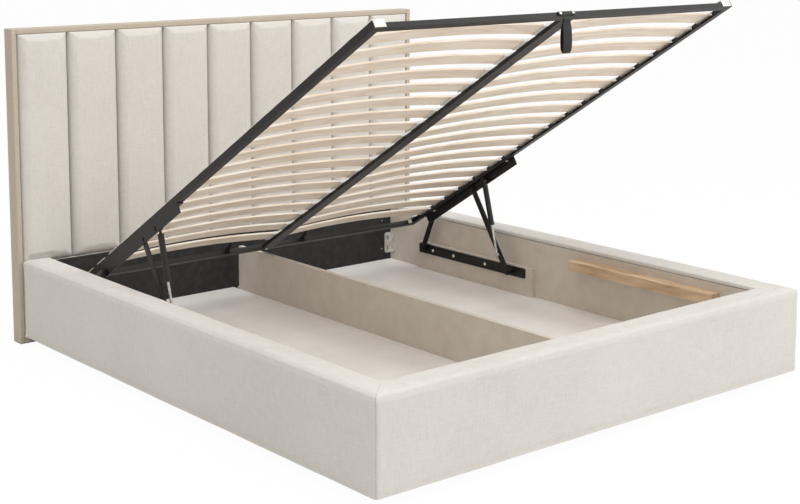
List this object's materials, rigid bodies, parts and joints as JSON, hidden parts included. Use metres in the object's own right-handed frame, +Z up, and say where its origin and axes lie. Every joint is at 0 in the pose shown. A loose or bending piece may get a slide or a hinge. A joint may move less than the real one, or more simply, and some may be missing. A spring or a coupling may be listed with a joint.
{
  "type": "upholstered storage bed",
  "caption": "Upholstered bed with a channelled headboard and a slatted platform that lifts on gas springs and folding arms over two storage bays split by a divider.",
  "frame": {"origin": "on the floor under the middle of the bed, headboard included", "axes": "X to the right seen from the foot, Y from the foot to the headboard, Z up; the platform is modelled raised, as pictured"},
  "size_m": [1.914, 2.1799, 1.3199],
  "materials": {
    "pale_fabric": "soft woven upholstery fabric",
    "border_fabric": "smooth woven upholstery fabric",
    "lining_board": "board with thin grey lining",
    "dark_board": "board with dark lining",
    "storage_board": "pale laminated board",
    "pine": "planed softwood",
    "beech_slat": "bent laminated slat",
    "black_plastic": "moulded plastic",
    "zinc": "zinc plated",
    "dark_steel": "satin powder coat",
    "white_plastic": "moulded plastic",
    "white_screw": "white painted head",
    "black_cylinder": "smooth black paint",
    "steel_rod": "polished",
    "black_webbing": "woven webbing"
  },
  "bodies": {
    "base": {"headboard_post_left": "border_fabric", "headboard_post_right": "border_fabric", "headboard_top_rail": "border_fabric", "headboard_back_board": "lining_board", "headboard_lower_panel": "pale_fabric", "headboard_channels": "pale_fabric", "headboard_bolts": "zinc", "rail_board_left": "lining_board", "rail_board_right": "lining_board", "rail_pad_left": "pale_fabric", "rail_pad_right": "pale_fabric", "footboard_board": "lining_board", "footboard_pad": "pale_fabric", "head_panel": "dark_board", "divider_board": "storage_board", "floor_panel_left": "storage_board", "floor_panel_right": "storage_board", "floor_cleats": "pine", "centre_bearer": "pine", "feet": "black_plastic", "gear_panel_left": "storage_board", "gear_panel_right": "storage_board", "batten_left": "pine", "batten_right": "pine", "corner_brackets": "zinc", "bracket_screws": "zinc", "base_bar_left": "dark_steel", "base_bar_right": "dark_steel", "base_bar_screws": "white_screw", "base_pivot_studs": "dark_steel"},
    "lift_arms": {"long_link_left": "dark_steel", "long_link_right": "dark_steel", "spring_studs": "dark_steel"},
    "short_links": {"short_link_left": "dark_steel", "short_link_right": "dark_steel", "short_link_rivets": "dark_steel"},
    "platform": {"side_angle_left": "dark_steel", "side_angle_right": "dark_steel", "foot_angle": "dark_steel", "head_angle": "dark_steel", "centre_tee": "dark_steel", "slats_left": "beech_slat", "slats_right": "beech_slat", "slat_caps_side": "white_plastic", "slat_caps_centre": "white_plastic", "corner_caps": "white_plastic", "step_brackets": "dark_steel", "tee_bolt": "white_screw", "strap_plate": "dark_steel", "strap_end": "black_webbing", "strap_bolts": "zinc", "upper_plate_left": "dark_steel", "upper_plate_right": "dark_steel", "upper_plate_studs": "dark_steel", "upper_plate_screws": "white_screw"},
    "gas_cylinders": {"gas_cylinder_left": "black_cylinder", "gas_cylinder_right": "black_cylinder"},
    "gas_rods": {"gas_rod_left": "steel_rod", "gas_rod_right": "steel_rod"},
    "pull_strap": {"pull_strap": "black_webbing"}
  },
  "joints": [
    {"name": "platform_lift", "type": "hinge", "parent": "base", "child": "lift_arms", "pos_m": [0, 0.20271, 0.168], "axis": [1, 0, 0], "range_deg": [-43.09, 0]},
    {"name": "platform_tilt", "type": "hinge", "parent": "lift_arms", "child": "platform", "pos_m": [0, 0.40968, 0.48146], "axis": [1, 0, 0], "range_deg": [0, 74.39]},
    {"name": "short_link_swing", "type": "hinge", "parent": "base", "child": "short_links", "pos_m": [0, 0.74471, 0.168], "axis": [1, 0, 0], "range_deg": [-81.41, 0]},
    {"name": "gas_spring_swing", "type": "hinge", "parent": "platform", "child": "gas_cylinders", "pos_m": [0, 0.32699, 0.53408], "axis": [1, 0, 0], "range_deg": [-85.77, 0]},
    {"name": "gas_rod_slide", "type": "slide", "parent": "gas_cylinders", "child": "gas_rods", "axis": [0, 0.2598, 0.9657], "range_m": [0, 0.10752]},
    {"name": "strap_swing", "type": "hinge", "parent": "platform", "child": "pull_strap", "pos_m": [0, -0.89497, 1.29495], "axis": [1, 0, 0], "range_deg": [-25, 35]}
  ],
  "couplings": [
    {"joint": "platform_tilt", "follows": "platform_lift", "ratio": -1.7263},
    {"joint": "short_link_swing", "follows": "platform_lift", "ratio": 1.8892},
    {"joint": "gas_spring_swing", "follows": "platform_lift", "ratio": 1.9904},
    {"joint": "gas_rod_slide", "follows": "platform_lift", "m_per_rad": -0.14296}
  ]
}
